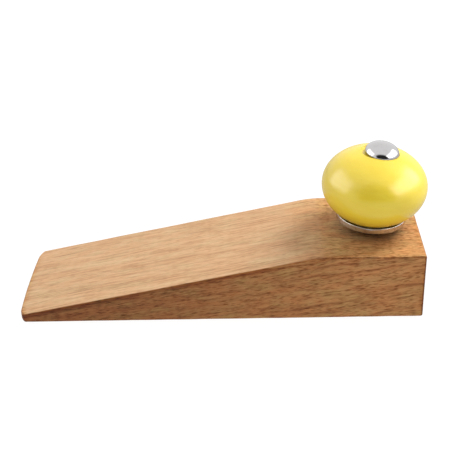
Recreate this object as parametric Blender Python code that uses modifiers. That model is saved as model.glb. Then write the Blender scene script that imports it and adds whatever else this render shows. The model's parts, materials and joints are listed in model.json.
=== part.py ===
"""Wooden wedge door stop with a glazed ceramic lifting knob, in metres, +Z up.

The origin is the middle of the block's floor face. The thin toe points to -X and the tall heel to +X.
The knob is its own bolted unit: a threaded stud runs through a ceramic body and the block, from a
domed finial on top to a nut that sits in a counterbore under the heel. The whole unit leans a little
towards the heel, because the bolt's hole is drilled out of plumb.
"""

import math

import bmesh
import bpy
from mathutils import Matrix

MM = 0.001
GAP = 0.3 * MM  # left between two pieces that touch

# The block
BLOCK_LENGTH = 150.8 * MM
BLOCK_WIDTH = 46.5 * MM
BLOCK_HEIGHT = 26.0 * MM
TOE_THICKNESS = 3.05 * MM
SEAT_LENGTH = 39.6 * MM  # the level top at the heel, where the knob stands
RIDGE_RADIUS = 40.0 * MM  # sanding blends the slope into the seat
TOE_BOW = 0.8 * MM  # how far the middle of the toe leads its corners
TOE_CORNER_RADIUS = 2.4 * MM
HEEL_CORNER_RADIUS = 1.0 * MM
EDGE_RADIUS = 0.7 * MM

# The knob's axis passes through the middle of the ceramic and leans about it
HEEL_TO_KNOB = 17.1 * MM
KNOB_RISE = 17.5 * MM  # from the block's seat to the widest part
KNOB_LEAN = math.radians(3.6)  # towards the heel

# The holes in the block
BOLT_HOLE_RADIUS = 3.0 * MM
COUNTERBORE_RADIUS = 10.0 * MM
COUNTERBORE_DEPTH = 10.5 * MM  # along the axis

# The ceramic body: an oblate spheroid on a short foot, a little fuller below its widest part
KNOB_RADIUS = 19.5 * MM
KNOB_UPPER_HEIGHT = 14.2 * MM
KNOB_LOWER_HEIGHT = 14.8 * MM
KNOB_BORE_RADIUS = 4.0 * MM
KNOB_FOOT_RADIUS = 8.0 * MM
KNOB_RECESS_RADIUS = 5.6 * MM  # the pocket in the foot that takes the lock nut
KNOB_RECESS_DEPTH = 6.6 * MM
CAP_SEAT_RADIUS = 6.3 * MM  # the dimple in the top that takes the finial's washer
CAP_SEAT_HEIGHT = 12.9 * MM  # above the widest part

# The metal saucer under the ceramic
FERRULE_FOOT_RADIUS = 8.5 * MM
FERRULE_WALL = 0.6 * MM
FERRULE_COVE_REACH = 4.0 * MM  # the hollow curve from the foot out to the band
FERRULE_COVE_RISE = 2.85 * MM
FERRULE_LIP_RADIUS = 13.0 * MM
FERRULE_HEIGHT = 4.85 * MM
GASKET_RADIUS = 7.0 * MM
GASKET_BORE_RADIUS = 5.0 * MM
GASKET_THICKNESS = 0.9 * MM

# The finial and its washer
FINIAL_RADIUS = 6.7 * MM
FINIAL_HEIGHT = 3.4 * MM
FINIAL_LIP_WIDTH = 0.7 * MM
FINIAL_COLLAR_RADIUS = 3.5 * MM
FINIAL_COLLAR_LENGTH = 7.9 * MM
FINIAL_THREAD_TOP = 1.3 * MM  # the blind end of its thread, above the rim
CAP_WASHER_RADIUS = 5.6 * MM
CAP_WASHER_THICKNESS = 0.5 * MM

# M5 hardware, with plain cylinders at about the pitch diameter for the threads
STUD_RADIUS = 2.4 * MM
STUD_FLOOR_CLEARANCE = 1.4 * MM
THREAD_BORE_RADIUS = 2.7 * MM
NUT_ACROSS_FLATS = 8.0 * MM
NUT_THICKNESS = 4.0 * MM
LOCK_NUT_THICKNESS = 2.7 * MM
LOCK_WASHER_RADIUS = 5.0 * MM
LOCK_WASHER_THICKNESS = 0.8 * MM
FLAT_WASHER_RADIUS = 7.5 * MM
FLAT_WASHER_THICKNESS = 1.2 * MM
SPRING_WASHER_RADIUS = 4.6 * MM
SPRING_WASHER_THICKNESS = 1.2 * MM
SPRING_WASHER_SLIT = 0.9 * MM
SPRING_WASHER_SLIT_LEAN = math.radians(30)
CHAMFER = 0.4 * MM

# Places worked out from the sizes above, in the block
HEEL_X = BLOCK_LENGTH / 2
TOE_X = -BLOCK_LENGTH / 2
RIDGE_X = HEEL_X - SEAT_LENGTH
KNOB_X = HEEL_X - HEEL_TO_KNOB
KNOB_Z = BLOCK_HEIGHT + KNOB_RISE

# Heights along the leaning axis, from the middle of the ceramic
FERRULE_TIP = FERRULE_FOOT_RADIUS * math.sin(KNOB_LEAN)  # how much lower the foot's heel side is
FERRULE_AT = -(KNOB_RISE - GAP - FERRULE_TIP) / math.cos(KNOB_LEAN)
GASKET_AT = FERRULE_AT + FERRULE_WALL + GAP
KNOB_FOOT_AT = GASKET_AT + GASKET_THICKNESS + GAP
RECESS_TOP_AT = KNOB_FOOT_AT + KNOB_RECESS_DEPTH
LOCK_WASHER_AT = RECESS_TOP_AT - GAP - LOCK_WASHER_THICKNESS
LOCK_NUT_AT = LOCK_WASHER_AT - GAP - LOCK_NUT_THICKNESS
CAP_WASHER_AT = CAP_SEAT_HEIGHT + GAP
FLOOR_AT = -KNOB_Z / math.cos(KNOB_LEAN)
COUNTERBORE_TOP_AT = FLOOR_AT + COUNTERBORE_DEPTH
FLAT_WASHER_AT = COUNTERBORE_TOP_AT - GAP - FLAT_WASHER_THICKNESS
SPRING_WASHER_AT = FLAT_WASHER_AT - GAP - SPRING_WASHER_THICKNESS
NUT_AT = SPRING_WASHER_AT - GAP - NUT_THICKNESS
STUD_AT = FLOOR_AT + STUD_FLOOR_CLEARANCE


def clear_scene():
    for obj in list(bpy.data.objects):
        bpy.data.objects.remove(obj)


def collection(name):
    made = bpy.data.collections.new(name)
    bpy.context.scene.collection.children.link(made)
    return made


def material(name, colour, roughness, metallic=0.0):
    made = bpy.data.materials.new(name)
    made.use_nodes = True
    shader = made.node_tree.nodes["Principled BSDF"]
    shader.inputs["Base Color"].default_value = (*colour, 1.0)
    shader.inputs["Roughness"].default_value = roughness
    shader.inputs["Metallic"].default_value = metallic
    return made


def add_object(name, mesh, place, paint=None):
    """A new object in the collection place. A cutter is one with no paint, and it stays out of the build."""
    obj = bpy.data.objects.new(name, mesh)
    place.objects.link(obj)
    if paint:
        mesh.materials.append(paint)
    else:
        obj.hide_render = True
        obj.display_type = "WIRE"
    return obj


def boolean(obj, operation, cutter):
    cut = obj.modifiers.new(cutter.name, "BOOLEAN")
    cut.operation = operation
    cut.solver = "EXACT"
    cut.object = cutter


def arc(centre_x, centre_y, reach_x, reach_y, start, end, steps):
    """Points along an elliptical arc, from the angle start to the angle end in degrees."""
    points = []
    for step in range(steps + 1):
        angle = math.radians(start + (end - start) * step / steps)
        points.append((centre_x + reach_x * math.cos(angle), centre_y + reach_y * math.sin(angle)))
    return points


def turned(name, profile, steps, place, paint=None):
    """A solid of revolution about Z. A profile that starts off the axis is a ring, and is closed on itself."""
    count = len(profile)
    is_ring = profile[0][0] > 0
    edges = [(i, (i + 1) % count) for i in range(count if is_ring else count - 1)]
    mesh = bpy.data.meshes.new(name)
    mesh.from_pydata([(radius, 0, height) for radius, height in profile], edges, [])
    obj = add_object(name, mesh, place, paint)
    turn = obj.modifiers.new("turn", "SCREW")
    turn.axis = "Z"
    turn.steps = steps
    turn.render_steps = steps
    turn.use_merge_vertices = True
    turn.merge_threshold = 0.01 * MM
    return obj


def prism(name, outline, half_thickness, place, paint=None):
    """A closed outline in X and Y, made solid along Z and turned into a mesh."""
    curve = bpy.data.curves.new(name, "CURVE")
    curve.dimensions = "2D"
    curve.fill_mode = "BOTH"
    curve.extrude = half_thickness
    spline = curve.splines.new("POLY")
    spline.points.add(len(outline) - 1)
    for point, (x, y) in zip(spline.points, outline):
        point.co = (x, y, 0, 1)
    spline.use_cyclic_u = True
    guide = bpy.data.objects.new(name + "_outline", curve)
    place.objects.link(guide)
    bpy.context.view_layer.update()
    graph = bpy.context.evaluated_depsgraph_get()
    mesh = bpy.data.meshes.new_from_object(guide.evaluated_get(graph))
    bpy.data.objects.remove(guide)
    shape = bmesh.new()
    shape.from_mesh(mesh)
    bmesh.ops.remove_doubles(shape, verts=shape.verts, dist=0.01 * MM)
    bmesh.ops.recalc_face_normals(shape, faces=shape.faces)
    shape.to_mesh(mesh)
    shape.free()
    mesh.name = name
    return add_object(name, mesh, place, paint)


def side_outline():
    """The block seen from the side: X along it and Y up, with the sanded blend between slope and seat."""
    slope = math.atan2(BLOCK_HEIGHT - TOE_THICKNESS, RIDGE_X - TOE_X)
    blend = RIDGE_RADIUS * math.tan(slope / 2)
    centre_x = RIDGE_X + blend
    centre_y = BLOCK_HEIGHT - RIDGE_RADIUS
    return [
        (TOE_X, 0),
        (HEEL_X, 0),
        (HEEL_X, BLOCK_HEIGHT),
        *arc(centre_x, centre_y, RIDGE_RADIUS, RIDGE_RADIUS, 90, 90 + math.degrees(slope), 6),
        (TOE_X, TOE_THICKNESS),
    ]


def plan_outline():
    """The block seen from above: a rectangle with rounded corners and a toe that bows outwards."""
    half_width = BLOCK_WIDTH / 2
    heel, toe = HEEL_CORNER_RADIUS, TOE_CORNER_RADIUS
    toe_run = half_width - toe
    outline = [
        *arc(HEEL_X - heel, -half_width + heel, heel, heel, -90, 0, 3),
        *arc(HEEL_X - heel, half_width - heel, heel, heel, 0, 90, 3),
        *arc(TOE_X + toe, half_width - toe, toe, toe, 90, 180, 5),
        *[(TOE_X, toe_run * share) for share in (0.75, 0.5, 0.25, 0, -0.25, -0.5, -0.75)],
        *arc(TOE_X + toe, -half_width + toe, toe, toe, 180, 270, 5),
    ]
    return [(x + TOE_BOW * (y / half_width) ** 2 if x < 0 else x, y) for x, y in outline]


def make_block(parts, cutters, wood):
    """The wedge: sawn to its side outline, trimmed to its plan, eased along its edges, then drilled.

    Returns the drill, which still has to be set on the knob's axis."""
    block = prism("wedge_block", side_outline(), BLOCK_WIDTH, parts, wood)
    block.data.transform(Matrix.Rotation(math.radians(90), 4, "X"))
    plan = prism("plan_cutter", plan_outline(), 2 * BLOCK_HEIGHT, cutters)
    boolean(block, "INTERSECT", plan)
    ease = block.modifiers.new("ease", "BEVEL")
    ease.width = EDGE_RADIUS
    ease.segments = 2
    ease.limit_method = "ANGLE"
    ease.angle_limit = math.radians(40)
    below = FLOOR_AT - BLOCK_HEIGHT
    drill = turned(
        "drill_cutter",
        [
            (0, 0),
            (BOLT_HOLE_RADIUS, 0),
            (BOLT_HOLE_RADIUS, COUNTERBORE_TOP_AT),
            (COUNTERBORE_RADIUS, COUNTERBORE_TOP_AT),
            (COUNTERBORE_RADIUS, below),
            (0, below),
        ],
        40,
        cutters,
    )
    boolean(block, "DIFFERENCE", drill)
    return drill


def spheroid_angle(radius):
    """How far up or down the ceramic's side, in degrees, its outline has come in to this radius."""
    return math.degrees(math.acos(radius / KNOB_RADIUS))


def spheroid_height(radius):
    """How far above its widest part the ceramic's outline has come in to this radius."""
    return KNOB_UPPER_HEIGHT * math.sin(math.radians(spheroid_angle(radius)))


def ceramic_profile():
    """From the dimple in the top, down the outside to the foot, and back up the recess and the bore."""
    foot = KNOB_FOOT_AT
    top_angle = spheroid_angle(CAP_SEAT_RADIUS)
    foot_angle = -spheroid_angle(KNOB_FOOT_RADIUS)
    return [
        (CAP_SEAT_RADIUS, CAP_SEAT_HEIGHT),
        *arc(0, 0, KNOB_RADIUS, KNOB_UPPER_HEIGHT, top_angle, 0, 10),
        *arc(0, 0, KNOB_RADIUS, KNOB_LOWER_HEIGHT, 0, foot_angle, 10)[1:],
        (KNOB_FOOT_RADIUS, foot),
        (KNOB_RECESS_RADIUS, foot),
        (KNOB_RECESS_RADIUS, foot + KNOB_RECESS_DEPTH),
        (KNOB_BORE_RADIUS, foot + KNOB_RECESS_DEPTH),
        (KNOB_BORE_RADIUS, CAP_SEAT_HEIGHT),
    ]


def finial_profile():
    """The dome from its crown to its rim, the hollow under the rim, the collar, and its blind thread."""
    edge = 0.25 * MM
    ceiling = FINIAL_LIP_WIDTH
    inner = FINIAL_RADIUS - FINIAL_LIP_WIDTH
    return [
        *arc(0, edge, FINIAL_RADIUS, FINIAL_HEIGHT - edge, 90, 0, 8),
        (FINIAL_RADIUS - edge, 0),
        (inner, 0),
        (inner, ceiling),
        (FINIAL_COLLAR_RADIUS, ceiling),
        (FINIAL_COLLAR_RADIUS, -FINIAL_COLLAR_LENGTH),
        (THREAD_BORE_RADIUS, -FINIAL_COLLAR_LENGTH),
        (THREAD_BORE_RADIUS, FINIAL_THREAD_TOP),
        (0, FINIAL_THREAD_TOP),
    ]


def ferrule_profile():
    """A small foot, a hollow curve out from it and an upright band, from the lip's top round to the inside."""
    wall = FERRULE_WALL
    edge = 0.15 * MM
    middle = FERRULE_FOOT_RADIUS + FERRULE_COVE_REACH
    reach, rise = FERRULE_COVE_REACH + wall, FERRULE_COVE_RISE + wall
    outside = arc(middle, 0, FERRULE_COVE_REACH, FERRULE_COVE_RISE, 90, 180, 6)
    lip_angle = math.degrees(math.acos((FERRULE_LIP_RADIUS - wall - middle) / reach))
    floor_angle = 180 - math.degrees(math.asin(wall / rise))
    inside = arc(middle, 0, reach, rise, floor_angle, lip_angle, 6)
    return [
        (FERRULE_LIP_RADIUS - wall, FERRULE_HEIGHT),
        (FERRULE_LIP_RADIUS - edge, FERRULE_HEIGHT),
        (FERRULE_LIP_RADIUS, FERRULE_HEIGHT - edge),
        (FERRULE_LIP_RADIUS, FERRULE_COVE_RISE + edge),
        (FERRULE_LIP_RADIUS - edge, FERRULE_COVE_RISE),
        *outside,
        (THREAD_BORE_RADIUS, 0),
        (THREAD_BORE_RADIUS, wall),
        *inside,
    ]


def ring_profile(bore, radius, thickness):
    """A washer's section, from its top outer corner round to its top inner corner."""
    return [(radius, thickness), (radius, 0), (bore, 0), (bore, thickness)]


def stud_profile(length):
    return [
        (0, length),
        (STUD_RADIUS - CHAMFER, length),
        (STUD_RADIUS, length - CHAMFER),
        (STUD_RADIUS, CHAMFER),
        (STUD_RADIUS - CHAMFER, 0),
        (0, 0),
    ]


def make_nut(name, thickness, parts, cutters, steel):
    """A hexagon whose corners are turned off at both ends, with a bore through it."""
    corner = NUT_ACROSS_FLATS / math.sqrt(3)
    flat = NUT_ACROSS_FLATS / 2
    mesh = bpy.data.meshes.new(name)
    shape = bmesh.new()
    bmesh.ops.create_cone(
        shape, cap_ends=True, segments=6, radius1=corner, radius2=corner, depth=thickness,
        matrix=Matrix.Translation((0, 0, thickness / 2)),
    )
    shape.to_mesh(mesh)
    shape.free()
    nut = add_object(name, mesh, parts, steel)
    beyond = corner + MM
    slant = (beyond - flat) * math.tan(math.radians(30))
    turning = turned(
        name + "_turning",
        [
            (flat, thickness + MM),
            (flat, thickness),
            (beyond, thickness - slant),
            (beyond, slant),
            (flat, 0),
            (flat, -MM),
            (THREAD_BORE_RADIUS, -MM),
            (THREAD_BORE_RADIUS, thickness + MM),
        ],
        24,
        cutters,
    )
    boolean(nut, "INTERSECT", turning)
    return nut, turning


def make_spring_washer(parts, cutters, steel):
    """A ring flattened by the nut, with a leaning slit through one side."""
    ring = ring_profile(THREAD_BORE_RADIUS, SPRING_WASHER_RADIUS, SPRING_WASHER_THICKNESS)
    washer = turned("spring_washer", ring, 32, parts, steel)
    mesh = bpy.data.meshes.new("slit_cutter")
    shape = bmesh.new()
    bmesh.ops.create_cube(shape, size=1)
    shape.to_mesh(mesh)
    shape.free()
    mesh.transform(Matrix.Diagonal((SPRING_WASHER_RADIUS, SPRING_WASHER_SLIT, 4 * SPRING_WASHER_THICKNESS, 1)))
    mesh.transform(Matrix.Rotation(SPRING_WASHER_SLIT_LEAN, 4, "X"))
    mesh.transform(Matrix.Translation((SPRING_WASHER_RADIUS, 0, SPRING_WASHER_THICKNESS / 2)))
    slit = add_object("slit_cutter", mesh, cutters)
    boolean(washer, "DIFFERENCE", slit)
    return washer, slit


def main():
    clear_scene()
    parts = collection("wedge_door_stop")
    cutters = collection("cutters")
    wood = material("waxed_hardwood", (0.52, 0.31, 0.16), 0.55)
    glaze = material("yellow_glaze", (0.80, 0.62, 0.08), 0.12)
    chrome = material("chrome", (0.82, 0.82, 0.84), 0.08, 1.0)
    zinc = material("zinc_plated_steel", (0.62, 0.63, 0.65), 0.35, 1.0)
    rubber = material("black_rubber", (0.03, 0.03, 0.03), 0.8)
    fibre = material("clear_fibre", (0.75, 0.73, 0.68), 0.5)

    knob_axis = bpy.data.objects.new("knob_axis", None)
    parts.objects.link(knob_axis)
    knob_axis.location = (KNOB_X, 0, KNOB_Z)
    knob_axis.rotation_euler = (0, KNOB_LEAN, 0)

    def on_axis(obj, height):
        obj.parent = knob_axis
        obj.location = (0, 0, height)

    on_axis(make_block(parts, cutters, wood), 0)
    on_axis(turned("ceramic_knob", ceramic_profile(), 48, parts, glaze), 0)
    on_axis(turned("ferrule", ferrule_profile(), 40, parts, chrome), FERRULE_AT)
    gasket = ring_profile(GASKET_BORE_RADIUS, GASKET_RADIUS, GASKET_THICKNESS)
    on_axis(turned("ferrule_gasket", gasket, 32, parts, rubber), GASKET_AT)

    finial_at = spheroid_height(FINIAL_RADIUS) + GAP
    on_axis(turned("finial", finial_profile(), 32, parts, chrome), finial_at)
    cap_washer = ring_profile(KNOB_BORE_RADIUS, CAP_WASHER_RADIUS, CAP_WASHER_THICKNESS)
    on_axis(turned("finial_washer", cap_washer, 32, parts, fibre), CAP_WASHER_AT)

    stud_top = finial_at + FINIAL_THREAD_TOP - GAP
    on_axis(turned("threaded_stud", stud_profile(stud_top - STUD_AT), 24, parts, zinc), STUD_AT)

    lock_washer = ring_profile(THREAD_BORE_RADIUS, LOCK_WASHER_RADIUS, LOCK_WASHER_THICKNESS)
    on_axis(turned("lock_washer", lock_washer, 32, parts, zinc), LOCK_WASHER_AT)
    flat_washer = ring_profile(THREAD_BORE_RADIUS, FLAT_WASHER_RADIUS, FLAT_WASHER_THICKNESS)
    on_axis(turned("flat_washer", flat_washer, 32, parts, zinc), FLAT_WASHER_AT)

    for name, thickness, height in (
        ("lock_nut", LOCK_NUT_THICKNESS, LOCK_NUT_AT),
        ("hex_nut", NUT_THICKNESS, NUT_AT),
    ):
        for piece in make_nut(name, thickness, parts, cutters, zinc):
            on_axis(piece, height)

    for piece in make_spring_washer(parts, cutters, zinc):
        on_axis(piece, SPRING_WASHER_AT)


main()
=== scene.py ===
# %% [markdown]
# # A wooden wedge door stop with a ceramic lifting knob
# The real thing is three crafts bolted together: a sawn and sanded hardwood wedge, a glazed ceramic
# cabinet knob, and the plated metal that holds one on the other. Each piece below is made the way its
# maker would make it: the wedge is sawn, eased and drilled, and the round pieces are turned.

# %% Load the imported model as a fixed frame
import math

import json

import bmesh
import bpy
from mathutils import Matrix, Vector, noise


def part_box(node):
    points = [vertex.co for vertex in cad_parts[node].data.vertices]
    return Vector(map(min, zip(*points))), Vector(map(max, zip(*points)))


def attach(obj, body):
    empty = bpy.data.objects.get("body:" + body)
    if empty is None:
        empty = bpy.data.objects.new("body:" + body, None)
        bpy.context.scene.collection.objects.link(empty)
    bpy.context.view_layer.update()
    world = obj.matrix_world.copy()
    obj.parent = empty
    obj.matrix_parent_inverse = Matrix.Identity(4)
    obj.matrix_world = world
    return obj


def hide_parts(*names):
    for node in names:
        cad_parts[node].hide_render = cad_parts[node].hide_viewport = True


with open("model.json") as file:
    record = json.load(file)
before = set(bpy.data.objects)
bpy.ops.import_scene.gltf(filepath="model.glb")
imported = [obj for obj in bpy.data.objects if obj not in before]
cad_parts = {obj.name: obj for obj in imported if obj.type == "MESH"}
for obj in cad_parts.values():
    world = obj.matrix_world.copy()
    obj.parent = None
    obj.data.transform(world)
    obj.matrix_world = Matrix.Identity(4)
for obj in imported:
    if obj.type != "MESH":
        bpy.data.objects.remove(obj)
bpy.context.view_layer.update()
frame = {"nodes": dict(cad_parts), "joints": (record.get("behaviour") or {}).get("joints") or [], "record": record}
MM = 0.001

# %% [markdown]
# ## Where everything is
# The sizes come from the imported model, so that the finished pieces land on the engineered ones. The
# dome on top and the gasket under it are set a little differently, and their own cells say how. The
# block's slope is known from the face that a door bears on. The knob leans a little, because its bolt
# hole was drilled out of plumb, so the round pieces are measured and made in a frame of their own, with
# its origin in the middle of the ceramic and its Z up the bolt.

# %% Measure the block
block_low, block_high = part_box("wedge_block")
TOE_X, HEEL_X = block_low.x, block_high.x
HALF_WIDTH = block_high.y
SEAT_Z = block_high.z

slope_mount = next(m for m in frame["record"]["mounts"] if m["name"] == "slope_face")
SLOPE_POINT = Vector(slope_mount["pos_m"])
SLOPE_NORMAL = Vector(slope_mount["axis"]).normalized()
SLOPE_RISE = -SLOPE_NORMAL.x / SLOPE_NORMAL.z
RIDGE_X = SLOPE_POINT.x + (SEAT_Z - SLOPE_POINT.z) / SLOPE_RISE
print("slope", round(math.degrees(math.atan(SLOPE_RISE)), 2), "degrees, ridge at", round(RIDGE_X, 4))

# %% Find the knob's own frame
knob_joint = frame["joints"][0]
KNOB_MIDDLE = Vector(knob_joint["pos_m"])
BOLT_WAY = Vector(knob_joint["axis"]).normalized()
LEAN = math.atan2(BOLT_WAY.x, BOLT_WAY.z)
KNOB_FRAME = Matrix.Translation(KNOB_MIDDLE) @ Matrix.Rotation(LEAN, 4, "Y")
print("knob middle", [round(x, 4) for x in KNOB_MIDDLE], "leans", round(math.degrees(LEAN), 2), "degrees")

# %% Measure the round pieces about the bolt


def outline_points(node):
    """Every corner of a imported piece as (distance from the bolt's axis, height along it)."""
    to_knob = KNOB_FRAME.inverted()
    points = [to_knob @ corner.co for corner in frame["nodes"][node].data.vertices]
    return [(math.hypot(point.x, point.y), point.z) for point in points]


def reach_of(node):
    """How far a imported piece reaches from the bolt's axis, and its lowest and highest place along it."""
    outline = outline_points(node)
    heights = [height for radius, height in outline]
    return max(outline)[0], min(heights), max(heights)


knob_outline = outline_points("ceramic_knob")
KNOB_RADIUS, KNOB_FOOT_Z, KNOB_CROWN_Z = reach_of("ceramic_knob")
TIP = 0.1 * MM
KNOB_SEAT_RADIUS = max(radius for radius, height in knob_outline if height > KNOB_CROWN_Z - TIP)
KNOB_FOOT_RADIUS = max(radius for radius, height in knob_outline if height < KNOB_FOOT_Z + TIP)
KNOB_BORE_RADIUS = min(radius for radius, height in knob_outline)
KNOB_UPPER_HEIGHT = KNOB_CROWN_Z / math.sqrt(1 - (KNOB_SEAT_RADIUS / KNOB_RADIUS) ** 2)
above_foot = min(height for radius, height in knob_outline if radius > KNOB_FOOT_RADIUS + TIP)
beside_foot = max(radius for radius, height in knob_outline if abs(height - above_foot) < TIP)
KNOB_LOWER_HEIGHT = -above_foot / math.sqrt(1 - (beside_foot / KNOB_RADIUS) ** 2)
print("knob", round(KNOB_RADIUS, 5), "up", round(KNOB_UPPER_HEIGHT, 5), "down", round(KNOB_LOWER_HEIGHT, 5))

# %% [markdown]
# ## The camera
# A long lens about 40 cm away, looking down at 30 degrees and nearly square to the block's side. A long
# lens keeps the block's far edge nearly as long as its near edge, as catalogue pictures do.

# %% Set up the camera
CAMERA_PLACE = (0.0139, -0.33131, 0.21559)
CAMERA_LENS = 80.43  # mm, on a 36 mm wide sensor
CAMERA_TURN = math.radians(-1.96)  # to the right of straight ahead
CAMERA_DOWN = math.radians(29.595)
CAMERA_ROLL = math.radians(-2.006)

camera_data = bpy.data.cameras.new("camera")
camera_data.sensor_width = 36
camera_data.lens = CAMERA_LENS
camera_data.clip_start = 0.01
camera = bpy.data.objects.new("camera", camera_data)
bpy.context.scene.collection.objects.link(camera)
camera.matrix_world = (
    Matrix.Translation(CAMERA_PLACE)
    @ Matrix.Rotation(-CAMERA_TURN, 4, "Z")
    @ Matrix.Rotation(math.radians(90) - CAMERA_DOWN, 4, "X")
    @ Matrix.Rotation(CAMERA_ROLL, 4, "Z")
)
bpy.context.scene.camera = camera
bpy.context.scene.view_settings.view_transform = "Standard"
print("camera looks", [round(x, 3) for x in camera.matrix_world.to_3x3() @ Vector((0, 0, -1))])

# %% [markdown]
# ## Writing shaders as sums
# A procedural finish is arithmetic on patterns. Wiring that by hand hides the thought in it, so one
# small class lets an output socket be added, multiplied and compared like a number, and one method
# adds every other node.

# %% A socket that does arithmetic


class Wire:
    """An output socket. Sums on it add Math nodes to the same node tree."""

    def __init__(self, recipe, socket):
        self.recipe = recipe
        self.socket = socket

    def math(self, operation, left, right=0.0):
        return self.recipe.add("ShaderNodeMath", {"operation": operation}, {0: left, 1: right})

    def __add__(self, other):
        return self.math("ADD", self, other)

    def __sub__(self, other):
        return self.math("SUBTRACT", self, other)

    def __rsub__(self, other):
        return self.math("SUBTRACT", other, self)

    def __mul__(self, other):
        return self.math("MULTIPLY", self, other)

    def __truediv__(self, other):
        return self.math("DIVIDE", self, other)

    __radd__ = __add__
    __rmul__ = __mul__

    def abs(self):
        return self.math("ABSOLUTE", self)

    def between(self, low, high):
        """0 at low or less, 1 at high or more, and smooth between them. low may be the larger one."""
        if low > high:
            return 1 - self.between(high, low)
        return self.recipe.add(
            "ShaderNodeMapRange",
            {"interpolation_type": "SMOOTHSTEP"},
            {"Value": self, "From Min": low, "From Max": high},
        )


# %% One method for every node


class Recipe:
    """A node tree being written, for a finish or for the light round the object."""

    def __init__(self, tree):
        self.tree = tree
        tree.nodes.clear()

    def add(self, kind, settings=None, inputs=None, output=0):
        node = self.tree.nodes.new(kind)
        for name, value in (settings or {}).items():
            if name == "stops":
                ramp = node.color_ramp
                for _ in range(len(value) - len(ramp.elements)):
                    ramp.elements.new(0.5)
                for element, (position, colour) in zip(ramp.elements, value):
                    element.position = position
                    element.color = (*colour, 1)
            else:
                setattr(node, name, value)
        for name, value in (inputs or {}).items():
            socket = node.inputs[name]
            if isinstance(value, Wire):
                self.tree.links.new(value.socket, socket)
            else:
                socket.default_value = value
        return None if output is None else Wire(self, node.outputs[output])

    def object_place(self):
        """The place on the piece, in millimetres."""
        place = self.add("ShaderNodeTexCoord", output="Object")
        return self.scaled(place, (1 / MM, 1 / MM, 1 / MM))

    def scaled(self, vector, factors):
        return self.add("ShaderNodeVectorMath", {"operation": "MULTIPLY"}, {0: vector, 1: factors})

    def moved(self, vector, shift):
        return self.add("ShaderNodeVectorMath", {"operation": "ADD"}, {0: vector, 1: shift})

    def dot(self, vector, way):
        """How far a vector goes along a way."""
        return self.add(
            "ShaderNodeVectorMath", {"operation": "DOT_PRODUCT"}, {0: vector, 1: tuple(way)}, output="Value"
        )

    def length(self, vector):
        return self.add("ShaderNodeVectorMath", {"operation": "LENGTH"}, {0: vector}, output="Value")

    def axis(self, vector, name):
        """One coordinate of a place: X, Y or Z."""
        return self.add("ShaderNodeSeparateXYZ", {}, {"Vector": vector}, name)

    def noise(self, place, size, detail=2.0, rough=0.5, output="Fac"):
        """Cloudy noise from 0 to 1. size is its lumps' width, one number or one for each direction."""
        sizes = size if isinstance(size, tuple) else (size, size, size)
        stretched = self.scaled(place, tuple(1 / s for s in sizes))
        inputs = {"Vector": stretched, "Scale": 1.0, "Detail": detail, "Roughness": rough}
        return self.add("ShaderNodeTexNoise", {}, inputs, output)

    def layers(self, distance, scale, detail):
        """Noise that changes only with one distance, from 0 to 1."""
        inputs = {"W": distance, "Scale": scale, "Detail": detail}
        return self.add("ShaderNodeTexNoise", {"noise_dimensions": "1D"}, inputs, "Fac")

    def mixed(self, factor, first, second, how="MIX"):
        """Two colours mixed: first where factor is 0, second where it is 1."""
        return self.add(
            "ShaderNodeMix",
            {"data_type": "RGBA", "blend_type": how, "clamp_factor": True},
            {0: factor, 6: first, 7: second},
            output=2,
        )


def rgb(red, green, blue):
    """A linear colour with the alpha that colour sockets expect."""
    return (red, green, blue, 1.0)


def new_finish(name):
    """An empty material with that name, and the recipe that writes it."""
    material = bpy.data.materials.new(name)
    material.use_nodes = True
    return material, Recipe(material.node_tree)


def close_finish(recipe, colour, roughness, bump=None, bump_depth=0.05 * MM, **fixed):
    """The last step of a finish: the shader, its bump and the material's output."""
    inputs = {"Base Color": colour, "Roughness": roughness}
    if bump:
        inputs["Normal"] = recipe.add("ShaderNodeBump", {}, {"Height": bump, "Distance": bump_depth})
    shader = recipe.add("ShaderNodeBsdfPrincipled", {}, {**inputs, **fixed})
    recipe.add("ShaderNodeOutputMaterial", {}, {"Surface": shader}, output=None)


# %% [markdown]
# ## The studio
# The pale floor runs on for metres, and the sweep behind and overhead is white. A key lamp high behind
# the heel throws the knob's soft shadow down the slope. Matt and polished things see two different rooms,
# which a studio arranges with cards and flags. For anything matt the light fades towards the
# table. Anything polished sees an even white room with a soft-edged bright window on either side, and
# those draw the pale patches on the glaze. The side the camera stands on looks dark to it, and that
# draws the black patch in the front of the chrome.

# %% Light the room
HIGH_GLOW, LOW_GLOW = 0.72, 0.18  # overhead and at the level of the table, for anything matt
OVERHEAD_FROM, OVERHEAD_TO = 0.0, 0.85  # sines of the heights between which low turns into high
ROOM_REFLECTED, FRONT_REFLECTED = 1.15, 0.03
CAMERA_SIDE = (0, -0.94, 0.34)
FRONT_DARK_FROM, FRONT_DARK_TO = 0.66, 0.86  # cosines of the angle off the camera's side
LEFT_FILL = 0.5  # what the left window adds to anything matt
RIGHT_WINDOW_GLOW, LEFT_WINDOW_GLOW = 4.4, 3.3  # what the windows add to anything polished

world = bpy.data.worlds.new("studio")
world.use_nodes = True
bpy.context.scene.world = world
room = Recipe(world.node_tree)
direction = room.add("ShaderNodeTexCoord", output="Generated")


def away_from_object(azimuth, elevation):
    """Azimuth 0 is the camera's side, 90 the heel's and -90 the toe's."""
    turn, lift = math.radians(azimuth), math.radians(elevation)
    return Vector((math.sin(turn) * math.cos(lift), -math.cos(turn) * math.cos(lift), math.sin(lift)))


def along(way):
    """The cosine of the angle between a way and the direction that is looked in."""
    return room.dot(direction, way)


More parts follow.
